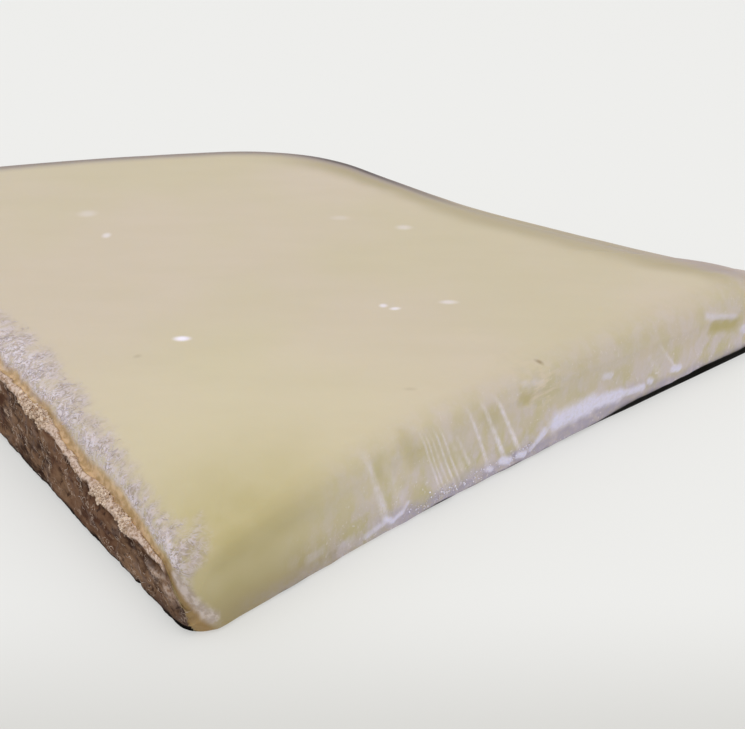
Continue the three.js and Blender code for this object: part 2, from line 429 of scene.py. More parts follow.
def cut_profile(x, y, recess, soft, seed):
    """A cut side from the bottom up to the top face, with its foot set back by the recess."""
    lift = RECESS_HEIGHT * recess
    width = lerp(SHOULDER_WIDTH, SOFT_SHOULDER_WIDTH, soft)
    drop = lerp(SHOULDER_DROP, SOFT_SHOULDER_DROP, soft)
    low = FOOT_HEIGHT + lift
    high = top_height(x, y) - drop
    rows = [
        (FOOT_WIDTH * (1.0 - 0.38 * recess), 0.0),
        (0.3 * FOOT_WIDTH + RECESS_DEPTH * recess, 0.35 * FOOT_HEIGHT * (1.0 + recess) + lift),
    ]
    face_rows = KNOTS - 5
    for k in range(face_rows):
        t = k / (face_rows - 1)
        ripple = 0.16 * noise_line((x + y) / 7 + 3 * t, seed)
        rows.append((ripple * math.sin(math.pi * t), lerp(low, high, t)))
    for k in range(1, 4):
        angle = k / 3 * math.pi / 2
        rows.append((width * (1 - math.cos(angle)), high + drop * math.sin(angle)))
    return knots(rows)


def crust_height(y):
    height = lerp(CRUST_HEIGHT_NEAR, CRUST_HEIGHT, smoothstep(CRUST_FALL_START, CRUST_FALL_END, y))
    dip = CRUST_DIP * bell(y - CRUST_DIP_PLACE, CRUST_DIP_REACH)
    height = height - dip + 0.25 * noise_line(y / 9, 5)
    return lerp(CRUST_HEIGHT_END, height, smoothstep(CRUST_END, CRUST_END + CRUST_END_LENGTH, y))


def rind_profile(x, y):
    """The rind side: lumpy rind, a crumbly ridge, a shallow groove, then the sloping band."""
    ridge = crust_height(y)
    top = top_height(x, y) - BAND_DROP
    crag = CRAG_SIZE * (0.7 * noise_line(y / 2.6, 1) + 0.3 * noise_line(y / 1.5, 2))
    chip = CRAG_SIZE * noise_line(y / 2.1, 3)
    full = smoothstep(CORNER_START, CORNER_END, y)
    crag, chip, stand = crag * full, chip * full, CRUST_STAND * full
    rows = [(0.9, 0.0), (0.25, 0.5), (0.0, 1.3)]
    for k in range(1, 4):
        t = k / 4
        lump = RIND_LUMP * noise_line(y / 6 + 7 * k, 10 + k)
        rows.append((lump - 0.25 * math.sin(math.pi * t), lerp(1.3, ridge - 1, t)))
    groove = ridge + 0.45
    rows += [
        (0.15 + 0.5 * crag, ridge - 1.0),
        (-stand + crag, ridge - 0.45 + 0.4 * chip),
        (lerp(0.05, 0.25, full) + 0.7 * crag, ridge + 0.35 + 0.6 * chip),
        (lerp(0.1, 1.1, full) + 0.3 * chip, groove),
        (lerp(0.2, 1.6, full), lerp(groove, top, 0.32)),
        (lerp(0.7, 2.6, full), lerp(groove, top, 0.72)),
        (lerp(CORNER_BAND_WIDTH, BAND_WIDTH, full), top),
    ]
    return knots(rows)


def front_profile(x, y):
    return cut_profile(x, y, in_steps(*FRONT_RECESS, x), in_steps(*FRONT_SOFTNESS, x), 21)


def right_profile(x, y):
    return cut_profile(x, y, in_steps(*RIGHT_RECESS, y), in_steps(*RIGHT_SOFTNESS, y), 22)


def back_profile(x, y):
    return cut_profile(x, y, np.zeros_like(x), 0.0, 23)


# The sides in order round the slab: the corners, how far each bows outward, its sway and heel, its
# profile, and the steps between its columns, each up to a distance along the side
FRONT_STEPS = ((27, 0.42), (36, 0.24), (61, 0.15), (98, 0.36), (200, 0.45))
RIND_STEPS = ((72, 0.7), (88, 0.36), (200, 0.25))
SIDE_KEYS = ("from", "to", "bow", "sway", "heel", "profile", "steps")
SIDES = [
    dict(zip(SIDE_KEYS, side))
    for side in (
        (NEAR, RIGHT, -1.45, -0.15, HEEL_OUT, front_profile, FRONT_STEPS),
        (RIGHT, BACK, RIGHT_BOW, 0.1, 0.0, right_profile, ((200, 1.3),)),
        (BACK, LEFT, 3.6, 0.3, 0.0, back_profile, ((200, 1.3),)),
        (LEFT, NEAR, -0.2, -0.3, 0.0, rind_profile, RIND_STEPS),
    )
]


def side_length(side):
    return math.dist(side["from"]["at"], side["to"]["at"])


def side_points(side, u):
    (ax, ay), (bx, by) = side["from"]["at"], side["to"]["at"]
    length = side_length(side)
    out = side["bow"] * np.sin(np.pi * u) + side["sway"] * np.sin(2 * np.pi * u)
    out = out + side["heel"] * bell(length * u - HEEL_PLACE, HEEL_REACH)
    x = ax + (bx - ax) * u + (by - ay) / length * out
    y = ay + (by - ay) * u - (bx - ax) / length * out
    return np.stack([x, y], -1)


def side_stations(side):
    """Places of the columns along a side, from 0 to 1."""
    length = side_length(side)
    here, last = side["from"]["round"], length - side["to"]["round"]
    stations = []
    while here < last:
        stations.append(here)
        here += next(step for until, step in side["steps"] if here < until)
    stations[-1] = last
    return np.array(stations) / length


def make_outline():
    """Plan points of the columns, each side's share in them, and their profile knots."""
    points, shares, profiles = [], [], []
    whole = np.eye(len(SIDES))
    for index, side in enumerate(SIDES):
        ahead = (index + 1) % len(SIDES)
        following = SIDES[ahead]
        plan = side_points(side, side_stations(side))
        points.append(plan)
        shares.append(np.tile(whole[index], (len(plan), 1)))
        profiles.append(side["profile"](*plan.T))

        corner = side["to"]
        t = (np.arange(1, corner["columns"] + 1) / (corner["columns"] + 1))[:, None]
        end = side_points(following, np.array([corner["round"] / side_length(following)]))[0]
        plan = (1 - t) ** 2 * plan[-1] + 2 * t * (1 - t) * np.array(corner["at"]) + t**2 * end
        blend = smoothstep(*corner["blend"], t)
        points.append(plan)
        shares.append(lerp(whole[index], whole[ahead], blend))
        profiles.append(lerp(side["profile"](*plan.T), following["profile"](*plan.T), blend))
    return np.concatenate(points), np.concatenate(shares), np.concatenate(profiles, axis=1)


def inward_steps(points, middle):
    """For each column, the plan vector that moves it 1 mm inward, square to the outline."""
    ahead, behind = np.roll(points, -1, axis=0), np.roll(points, 1, axis=0)
    tangent = ahead - behind
    tangent /= np.linalg.norm(tangent, axis=1)[:, None]
    inward = np.stack([-tangent[:, 1], tangent[:, 0]], -1)
    to_middle = middle - points
    return to_middle / np.sum(to_middle * inward, axis=1)[:, None]


def row_stops():
    stops = [np.linspace(k, k + 1, n, endpoint=False) for k, n in enumerate(ROWS_PER_INTERVAL)]
    return np.concatenate(stops + [np.array([KNOTS - 1.0])])


def through_knots(values, stops):
    """A smooth curve through the profile knots, at the given stops."""
    i = np.minimum(stops.astype(int), KNOTS - 2)
    t = (stops - i)[:, None, None]
    a, b = values[np.maximum(i - 1, 0)], values[i]
    c, d = values[i + 1], values[np.minimum(i + 2, KNOTS - 1)]
    square, cube = 2 * a - 5 * b + 4 * c - d, 3 * b - a - 3 * c + d
    return 0.5 * (2 * b + (c - a) * t + square * t**2 + cube * t**3)


def rotate(points, degrees):
    """Plan coordinates turned so that the first runs along that direction."""
    c, s = math.cos(math.radians(degrees)), math.sin(math.radians(degrees))
    x, y = points[..., 0], points[..., 1]
    return np.stack([c * x + s * y, c * y - s * x, points[..., 2]], -1)


def grid_normals(grid):
    across = np.roll(grid, -1, axis=1) - np.roll(grid, 1, axis=1)
    up = np.gradient(grid, axis=0)
    normals = np.cross(across, up)
    return normals / np.maximum(np.linalg.norm(normals, axis=2), 1e-9)[..., None]


def segment_distance(x, z, x0, z0, x1, z1):
    """Distance to a segment, and the place along it from 0 to 1."""
    dx, dz = x1 - x0, z1 - z0
    t = np.clip(((x - x0) * dx + (z - z0) * dz) / (dx * dx + dz * dz), 0.0, 1.0)
    return np.hypot(x - x0 - dx * t, z - z0 - dz * t), t


def near_olive(x, y):
    """How olive the paste is, most by the near corner."""
    return bell(np.hypot(x - 7, 1.2 * (y + 1)), 16.0)


def far_bands(x, y, line):
    """Painted shade and sheen along the far rims, at places of the plan: a dark shade line, a mauve
    sheen band and an olive shade band.
    """
    gap = np.full(np.shape(x), np.inf)
    for point in line:
        gap = np.minimum(gap, np.hypot(x - point[0], y - point[1]))
    edge, dark, mauve, olive = from_table(FAR_RIM, y)
    depth = gap - edge
    wave = 0.5 * noise_line(x / 7 + y / 5, 59) + 0.3 * noise_line(x / 2.9 - y / 3.3, 60)
    return {
        "rim_dark": dark * smoothstep(-2.2, -0.8, depth) * fall(0.2, 1.6, depth),
        "mauve": mauve * fall(0.3, 3.6, depth + 0.5 * wave),
        "rim_olive": olive * smoothstep(70, 90, x) * fall(3.2, 8.8, depth + wave),
    }


class Surface:
    """The grid of the slab's sides and of the outer zone of its top, with masks for its finish."""

    def __init__(self):
        outline, self.share, profile = make_outline()
        self.middle = np.mean([side["from"]["at"] for side in SIDES], axis=0)
        inward = inward_steps(outline, self.middle)
        stops = row_stops()
        rows = through_knots(profile, stops)
        plan = outline[None] + inward[None] * rows[..., :1]
        sides = np.concatenate([plan, rows[..., 1:]], axis=2)
        sides[0, :, 2] = 0.0

        rim, rim_inset = sides[-1], rows[-1, :, :1]
        sag = top_height(rim[:, 0], rim[:, 1]) - rim[:, 2]
        t = (np.arange(1, TOP_ZONE_ROWS + 1) / TOP_ZONE_ROWS)[:, None, None]
        inset = lerp(rim_inset[None], TOP_ZONE_WIDTH, t)
        plan = outline[None] + inward[None] * inset
        height = top_height(plan[..., 0], plan[..., 1]) - sag[None] * (1 - t[..., 0]) ** 2
        zone = np.concatenate([plan, height[..., None]], axis=2)

        self.grid = np.concatenate([sides, zone])
        self.knot = np.concatenate([stops, KNOTS - 1 + t[:, 0, 0]])[:, None]
        self.fade = np.concatenate([np.ones(len(stops)), 1 - t[:, 0, 0]])[:, None]
        self.outline = outline
        self.masks = {}
        self.measure()

    def measure(self):
        """Distances past the near corner, along the outline, and from the edge of the rind."""
        step = np.linalg.norm(np.diff(self.grid, axis=0), axis=2)
        climb = np.concatenate([np.zeros((1, step.shape[1])), np.cumsum(step, axis=0)])
        gap = np.linalg.norm(np.roll(self.outline, -1, axis=0) - self.outline, axis=1)
        travel = np.concatenate([[0.0], np.cumsum(gap)[:-1]])
        full = gap.sum()
        rind = self.share[:, RIND]
        near = travel[np.where(rind > 0.5)[0][-1]]
        left = travel[np.where(rind > 0.5)[0][0]]
        self.past_near = ((travel - near + full / 2) % full - full / 2)[None]
        past_left = (left - travel + full / 2) % full - full / 2
        past = np.maximum(self.past_near[0], past_left)
        past = np.where((rind < 0.5) & (past < 0), full, past)

        # The upper edge of the rind as a line in space, which runs down to the floor at the corners
        row = int(np.argmin(np.abs(self.knot[:, 0] - RIND_EDGE_KNOT)))
        raised = np.clip((EDGE_END - past) / (EDGE_END - EDGE_START), 0.0, 1.0)
        edge_climb = np.full(len(past), -1.0)
        line = []
        for j in np.where(raised > 0)[0]:
            height = self.grid[row, j, 2] * raised[j]
            place = np.interp(height, self.grid[: row + 1, j, 2], np.arange(row + 1))
            edge_climb[j] = np.interp(place, np.arange(row + 1), climb[: row + 1, j])
            low, part = int(place), place - int(place)
            line.append(lerp(self.grid[low, j], self.grid[min(low + 1, row), j], part))
        line = np.array(line)
        reach = np.where(past < EDGE_SEARCH)[0]
        distance = np.full(self.grid.shape[:2], full)
        for i in range(len(self.grid)):
            gaps = self.grid[i, reach][:, None] - line[None]
            distance[i, reach] = np.sqrt(np.min(np.sum(gaps * gaps, axis=2), axis=1))
        self.from_rind = np.where(climb < edge_climb[None], -distance, distance)

    def paint(self):
        """Masks from 0 to 1 that say which finish shows where."""
        self.wobble = fractal(self.grid, 2.2, 31, 2)
        self.paint_rind()
        self.paint_frost()
        self.paint_front()
        self.paint_marks()
        x, y, _ = np.moveaxis(self.grid, 2, 0)
        self.far_line = self.outline[self.share[:, RIGHT_SIDE] + self.share[:, BACK_SIDE] > 0.5]
        # Painted shade and a painted mauve sheen on the far rims
        upper = smoothstep(*SHOULDER_KNOTS, self.knot)
        for name, mask in far_bands(x, y, self.far_line).items():
            self.masks[name] = upper * mask
        self.masks["olive"] = near_olive(x, y)

    def paint_rind(self):
        """The rind with painted shade at its foot and a painted black shadow line along the floor, and
        the crust along its edge.
        """
        m, wobble, e = self.masks, self.wobble, self.from_rind
        _, y, z = np.moveaxis(self.grid, 2, 0)
        m["rind"] = fall(-0.18, 0.18, e + 0.25 * wobble)
        # Painted shade: the rind darkens towards the floor, higher by the near corner, and a painted
        # near black shadow line runs along the floor
        higher = 1.8 * bell(y - 4, 10.0)
        m["foot"] = m["rind"] * fall(0.3, FOOT_SHADE + higher, z + 0.7 * wobble)
        sole_shadow = SOLE_HEIGHT - 0.4 * smoothstep(60, 110, y)
        m["sole_shadow"] = m["rind"] * fall(sole_shadow, sole_shadow + 0.45, z + 0.3 * wobble)

        # The crust is a pale ridge, smooth where it is narrow and crumbly where it is wide
        width = from_table(CRUST_WIDTHS, y)
        self.crumbly = m["crumbly"] = smoothstep(1.2, 2.0, width)
        half = width * (0.5 + 0.16 * self.crumbly * fractal(self.grid, 1.3, 33, 2))
        off = np.abs(e - CRUST_MIDDLE - 0.25 * wobble) / half
        going = fall(*CRUST_STOP, self.past_near)
        self.rope = going * np.sqrt(np.clip(1 - (off / 1.15) ** 2, 0, 1)) * np.minimum(half, 0.8)
        folds = [
            height * bell(segment_distance(y, z, *ends)[0], size) for *ends, size, height in RIND_FOLDS
        ]
        fold = self.share[None, :, RIND] * np.maximum(0.0, np.max(folds, axis=0))
        hollow = self.share[None, :, RIND] * np.minimum(0.0, np.min(folds, axis=0))
        self.fold = fold + hollow
        crust = going * fall(0.8, 1.15, off)
        m["crust"] = np.clip(np.maximum(crust, 1.7 * fold * (e < 0) * (1 + wobble)), 0, 1)
        m["hollow"] = np.clip(-3.0 * hollow, 0, 1)

    def paint_frost(self):
        """The golden line inside the crust and the frosted band. Both turn down the near corner."""
        m, e, past = self.masks, self.from_rind, self.past_near
        x, y, z = np.moveaxis(self.grid, 2, 0)
        inner = AMBER_WIDTH + 0.8 * bell(y - 19, 7.0) - 0.5 * bell(y - 7, 3.0)
        inner = inner + 0.9 * smoothstep(-3.5, -0.5, past) + 0.3 * fractal(self.grid, 3.0, 37, 2)
        m["amber"] = smoothstep(-0.2, 0.25, e) * fall(inner - 0.9, inner + 0.5, e)
        m["umber"] = smoothstep(-7.0, -2.8, past) * fall(2.0, 5.0, past) * np.ones_like(x)

        width = from_table(FROST_ALONG, y)
        width = lerp(width, from_table(FROST_DOWN, z), smoothstep(-1.6, 0.3, past))
        width = width * (1 + 0.14 * fractal(rotate(self.grid, STROKE_TURN), (4.0, 1.6, 2.0), 41, 3))
        start = smoothstep(inner - 0.8, inner + 0.6, e)
        fading = 1 - 0.6 * smoothstep(*FROST_FADES, y)
        m["frost"] = (0.5 + 0.5 * fading) * start * fall(width - 1.9, width + 0.6, e)
        m["bloom"] = fading * start * fall(width - 3.6, width - 0.6, e)

    def paint_front(self):
        """Cut sides, mostly the front: a hazy dry film with a painted lavender sheen, a band along the
        foot with paste, painted shade and a painted cool reflection, painted shade by the near corner
        and a painted black shadow under the lip.
        """
        m, past = self.masks, self.past_near
        x, _, z = np.moveaxis(self.grid, 2, 0)
        side = fall(*SHOULDER_KNOTS, self.knot)
        front = self.share[None, :, FRONT] * side
        others = (self.share[None, :, RIGHT_SIDE] + self.share[None, :, BACK_SIDE]) * side
        patch = fractal(self.grid, (8.0, 8.0, 5.0), 43, 3)
        # The hazy film is dry paste with a painted lavender sheen over it, which also lightens the cut
        # sides
        hazy = front * smoothstep(13, 34, x + 7 * patch) + 0.6 * others * smoothstep(-0.5, 0.5, patch)
        m["haze_and_sheen"] = np.clip(hazy * (0.4 + 0.6 * fall(0.0, 13.0, z + 2.5 * patch)), 0, 1)
        # Band along the foot: paste smeared near x 76, with a painted darker lavender shade and a
        # painted cool reflection
        low = fall(1.2, 4.2, z + 1.5 * patch)
        strength = 0.4 * smoothstep(3, 14, x) + 0.6 * smoothstep(26, 38, x + 3 * patch)
        pasty = 0.6 * bell(x - 76, 14.0) * fall(3.0, 6.0, z + 0.8 * patch)
        m["skirt_shade_and_sheen"] = np.clip(front * (low * strength + pasty) + 0.5 * others * low, 0, 1)
        # Painted shade: the front darkens towards the floor by the near corner
        m["shade"] = front * fall(0.0, 9.0, z) * fall(22, 50, x)
        *ends, width = CORNER_STRIPE
        stripe, _ = segment_distance(past, z, *ends)
        m["stripe"] = fall(0.3 * width, 1.3 * width, stripe + 0.2 * self.wobble)

        # Painted shadow: near black on the recessed lip under the right part of the front and a thin
        # line at the floor, where shade falls
        lip = fall(1.3, 2.5, self.knot + 0.35 * noise_line(x / 4.3, 29))
        thin = fall(0.25, 0.6, z - 0.3 * noise_line(x / 3.1, 27))
        thin = thin * np.maximum(smoothstep(40, 66, x), smoothstep(-0.2, 0.4, noise_line(x / 5.3, 35)))
        lip = smoothstep(0.1, 0.4, in_steps(*FRONT_RECESS, x)) * lip
        m["underside"] = self.share[None, :, FRONT] * np.maximum(lip, smoothstep(8, 14, x) * thin)

    def paint_marks(self):
        """Streaks, smears, hollows and the scuffed patch of the front side."""
        m = self.masks
        x, _, z = np.moveaxis(self.grid, 2, 0)
        whole = self.share[None, :, FRONT]
        front = whole * fall(*SHOULDER_KNOTS, self.knot)
        gaps = 0.75 + 0.45 * noise(self.grid, (50, 50, 0.9), 47)
        ragged = fractal(self.grid, (1.4, 1.4, 0.9), 53, 3)
        streak = np.zeros(x.shape)
        for *ends, size, strength in STREAKS:
            d, t = segment_distance(x, z, *ends)
            taper = size * (0.65 + 0.35 * t)
            grow = smoothstep(0.0, 0.18, t) * (0.6 + 0.4 * t)
            streak = np.maximum(streak, strength * fall(0.2 * taper, 0.95 * taper, d) * gaps * grow)
        m["streak"] = np.clip(front * streak, 0, 1)
        for name, where, table, inner, outer, wave in (
            ("smear", front, SMEARS, 0.35, 1.35, 0.25),
            ("pit", whole, PITS, 0.1, 1.3, 0.3),
        ):
            mark = np.zeros(x.shape)
            for *ends, size, strength in table:
                d = segment_distance(x, z, *ends)[0] + wave * size * ragged
                mark = np.maximum(mark, strength * fall(inner * size, outer * size, d))
            m[name] = np.clip(where * mark, 0, 1)
        across, up, reach = SCUFF
        scuff = bell(np.hypot((x - across) / 1.5, z - up + 0.25 * (x - across)), reach)
        m["scuff"] = np.clip(whole * scuff * (1 + 0.6 * ragged), 0, 1)

    def carve(self):
        """Moves the grid along its normals by the fine relief."""
        p, m = self.grid, self.masks
        rind = m["rind"] * (1 - 0.75 * m["crust"])
        rough = m["crust"] * (0.5 + 0.5 * self.crumbly)
        low = self.share[None, :, FRONT] * bell(p[..., 2] - 0.6, 1.6)
        parts = (
            rind * 0.30 * fractal(p, (2.4, 3.4, 1.5), 61, 3),
            rind * -0.32 * smoothstep(0.35, 0.8, noise(p, (1.5, 2.0, 1.2), 67)),
            rind * 0.12 * (1 - 2 * np.abs(fractal(p, (0.9, 1.8, 1.0), 69, 2))),
            self.fold + 0.5 * self.rope * (1 - 0.4 * self.crumbly),
            rough * (0.30 * fractal(p, 1.0, 71, 3) + 0.34 * noise(p, 0.45, 73)),
            m["amber"] * (1 - m["crust"]) * -0.10,
            m["frost"] * 0.08 * fractal(rotate(p, STROKE_TURN), (2.4, 0.7, 1.0), 79, 2),
            0.06 * (1 - m["rind"]) * fractal(p, (7.0, 7.0, 4.0), 83, 2),
            0.08 * m["streak"] + 0.18 * m["smear"] - 0.35 * m["pit"],
            0.18 * m["scuff"] * fractal(p, (2.2, 2.2, 0.9), 87, 2),
            0.05 * m["haze_and_sheen"] * fractal(p, 1.2, 89, 2),
            0.30 * low * fractal(p, (4.5, 4.5, 3.0), 93, 2),
        )
        relief = sum(parts) * self.fade * smoothstep(0.0, 0.6, p[..., 2])
        self.grid = p + grid_normals(p) * relief[..., None]
        self.grid[0, :, 2] = 0.0
        self.grid[..., 2] = np.maximum(self.grid[..., 2], 0.0)
        self.normals = grid_normals(self.grid)

    def cell_sizes(self):
        """Area of the cell at each place of the grid, in square millimetres."""
        across = np.roll(self.grid, -1, axis=1) - self.grid
        up = np.gradient(self.grid, axis=0)
        return np.linalg.norm(np.cross(across, up), axis=2)

    def pick(self, chance, count, generator):
        """Rows and columns of random places of the grid, by a chance for each square millimetre."""
        share = (chance * self.cell_sizes()).ravel()
        chosen = generator.choice(len(share), count, p=share / share.sum())
        return np.unravel_index(chosen, self.grid.shape[:2])


def fill_top(surface):
    """Points and triangles that close the top inside the innermost row of the grid."""
    rim = surface.grid[-1]
    low, high = rim[:, :2].min(axis=0), rim[:, :2].max(axis=0)
    xs = np.arange(low[0], high[0], TOP_GRID)
    ys = np.arange(low[1], high[1], TOP_GRID)
    gx, gy = np.meshgrid(xs, ys, indexing="ij")
    gx[:, 1::2] += TOP_GRID / 2
    spots = np.stack([gx.ravel(), gy.ravel()], -1)
    inside = signed_gap(spots, rim[:, :2]) > 0.6 * TOP_GRID
    spots = spots[inside]
    plan = [Vector(v) for v in rim[:, :2]] + [Vector(v) for v in spots]
    loop = list(range(len(rim)))
    _, _, faces, sources, _, _ = delaunay_2d_cdt(plan, [], [loop], 1, 1e-6)
    names = [source[0] for source in sources]
    return spots, [[names[v] for v in face] for face in faces]


def signed_gap(spots, loop):
    """Distance of each spot from a closed anticlockwise loop, positive inside."""
    a = loop[::3]
    b = np.roll(a, -1, axis=0)
    edge = b - a
    best = np.full(len(spots), np.inf)
    turns = np.zeros(len(spots))
    for start, step in zip(a, edge):
        rel = spots - start
        t = np.clip(rel @ step / (step @ step), 0, 1)
        best = np.minimum(best, np.linalg.norm(rel - t[:, None] * step, axis=1))
        end = rel - step
        cross = rel[:, 0] * end[:, 1] - rel[:, 1] * end[:, 0]
        turns += np.arctan2(cross, np.sum(rel * end, axis=1))
    return np.where(np.abs(turns) > math.pi, best, -best)


def closed_slab(surface):
    """Points and faces of the closed slab, and the masks at its points."""
    rows, columns = surface.grid.shape[:2]
    spots, top_faces = fill_top(surface)
    spot_z = top_height(spots[:, 0], spots[:, 1])
    middle = np.array([[*surface.middle, 0.0]])
    points = np.concatenate([surface.grid.reshape(-1, 3), np.column_stack([spots, spot_z]), middle])

    i, j = np.meshgrid(np.arange(rows - 1), np.arange(columns), indexing="ij")
    n = (j + 1) % columns
    low, high = i * columns, (i + 1) * columns
    faces = np.stack([low + j, low + n, high + n, high + j], -1).reshape(-1, 4).tolist()
    rim_start = (rows - 1) * columns
    spot_start = rows * columns
    for face in top_faces:
        faces.append([rim_start + v if v < columns else spot_start + v - columns for v in face])
    last = len(points) - 1
    faces.extend([last, (k + 1) % columns, k] for k in range(columns))

    inner = far_bands(spots[:, 0], spots[:, 1], surface.far_line)
    inner["olive"] = near_olive(spots[:, 0], spots[:, 1])
    masks = {}
    for name, mask in surface.masks.items():
        at_spots = inner.get(name, np.zeros(len(spots)))
        masks[name] = np.concatenate([np.broadcast_to(mask, (rows, columns)).ravel(), at_spots, [0.0]])
    return points, faces, masks


def put_in_scene(name, data):
    made = bpy.data.objects.new(name, data)
    bpy.context.scene.collection.objects.link(made)
    return made


def add_piece(name, points, faces, masks, material):
    """A smooth mesh object that stands for the slab's node, from points of the plan frame."""
    mesh = bpy.data.meshes.new(name)
    mesh.from_pydata(((points - (*PLAN_MIDDLE, 0.0)) * MM).tolist(), [], faces)
    mesh.polygons.foreach_set("use_smooth", np.ones(len(mesh.polygons), bool))
    for mask_name, values in masks.items():
        layer = mesh.attributes.new(mask_name, "FLOAT", "POINT")
        layer.data.foreach_set("value", np.asarray(values, np.float32))
    mesh.materials.append(material)
    mesh.update()
    piece = put_in_scene(name, mesh)
    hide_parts("cheese_slab")
    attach(piece, "root")


# Crumbs and fibres that lie on the slab


def gathered(points, faces, tones):
    """The parts of a piece as one, kept just above the floor."""
    points = np.concatenate(points)
    points[:, 2] = np.maximum(points[:, 2], GRAIN_LIFT)
    return points, faces, {"tone": np.concatenate(tones)}


def unit_ball():
    """Points and triangles of a ball of radius 1."""
    ball = bmesh.new()
    bmesh.ops.create_icosphere(ball, subdivisions=2, radius=1.0)
    points = np.array([v.co[:] for v in ball.verts])
    faces = np.array([[v.index for v in face.verts] for face in ball.faces])
    ball.free()
    return points, faces


def crumbs(surface, chance, count, size, generator):
    """Lumpy grains half sunk into the surface. The size is their smallest and largest radius."""
    rows, columns = surface.pick(chance, count, generator)
    ball, ball_faces = unit_ball()
    points, faces, tones = [], [], []
    for k, (i, j) in enumerate(zip(rows, columns)):
        radius = lerp(size[0], size[1], generator.random() ** 2.2)
        turned, _ = np.linalg.qr(generator.normal(size=(3, 3)))
        lumps = 1 + 0.4 * noise(ball * 1.3 + 7.3 * k, 1.0, 91)
        lumps = lumps + generator.uniform(-0.14, 0.14, len(ball))
        grain = (ball * lumps[:, None] * generator.uniform(0.45, 1.35, 3)) @ turned * radius
        across = surface.grid[i, (j + 1) % surface.grid.shape[1]] - surface.grid[i, j]
        centre = surface.grid[i, j] + across * generator.random()
        centre = centre + surface.normals[i, j] * radius * generator.uniform(-0.2, 0.45)
        faces.extend((ball_faces + k * len(ball)).tolist())
        points.append(grain + centre)
        tones.append(np.full(len(ball), generator.random()))
    return gathered(points, faces, tones)


def strands(surface, chance, count, length, width, heading, curl, generator):
    """Thin curved fibres that follow the surface.

    Length, width and heading are ranges. The heading is in degrees, from the way round the slab
    towards the way up over it.
    """
    grid, normals = surface.grid, surface.normals
    total_rows, total_columns = grid.shape[:2]
    rows, columns = surface.pick(chance, count, generator)
    points, faces, tones = [], [], []
    for i, j in zip(rows, columns):
        steps = max(4, int(generator.uniform(*length) / FIBRE_STEP))
        way = math.radians(generator.uniform(*heading))
        bend = generator.normal() * curl
        half = generator.uniform(*width) / 2
        row, column = float(i), float(j)
        path, ups = [], []
        for _ in range(steps + 1):
            a, b = int(row), int(column) % total_columns
            if not 1 <= a < total_rows - 2:
                break
            c = (b + 1) % total_columns
            s, t = row - a, column - math.floor(column)
            below, above = (lerp(grid[r, b], grid[r, c], t) for r in (a, a + 1))
            path.append(lerp(below, above, s))
            ups.append(normals[a, b])
            round_way = grid[a, c] - grid[a, b]
            up_way = grid[a + 1, b] - grid[a, b]
            level = round_way / max(np.linalg.norm(round_way), 1e-6)
            ahead = level * math.cos(way) + np.cross(normals[a, b], level) * math.sin(way)
            moved = np.linalg.lstsq(np.stack([round_way, up_way], 1), ahead * FIBRE_STEP, rcond=None)[0]
            column += float(np.clip(moved[0], -3, 3))
            row += float(np.clip(moved[1], -3, 3))
            bend = 0.8 * bend + 0.35 * generator.normal() * curl
            way += bend
        if len(path) < 4:
            continue
        path, ups = np.array(path), np.array(ups)
        ahead = np.gradient(path, axis=0)
        beside = np.cross(ups, ahead)
        beside /= np.maximum(np.linalg.norm(beside, axis=1), 1e-9)[:, None]
        taper = np.sin(np.pi * (np.arange(len(path)) + 0.5) / len(path))[:, None] ** 0.6
        centre = path + ups * 0.4 * half
        ring = [centre + beside * half * taper, centre + ups * 0.7 * half * taper]
        ring += [centre - beside * half * taper, centre - ups * 0.9 * half * taper]
        ring = np.stack(ring, 1)
        start = sum(len(part) for part in points)
        points.append(ring.reshape(-1, 3))
        for k in range(len(path) - 1):
            for side in range(4):
                near, far = 4 * k + side, 4 * k + (side + 1) % 4
                faces.append([start + near, start + far, start + far + 4, start + near + 4])
        faces.append([start + 3, start + 2, start + 1, start])
        end = start + 4 * (len(path) - 1)
        faces.append([end, end + 1, end + 2, end + 3])
        tones.append(np.full(4 * len(path), generator.random()))
    return gathered(points, faces, tones)


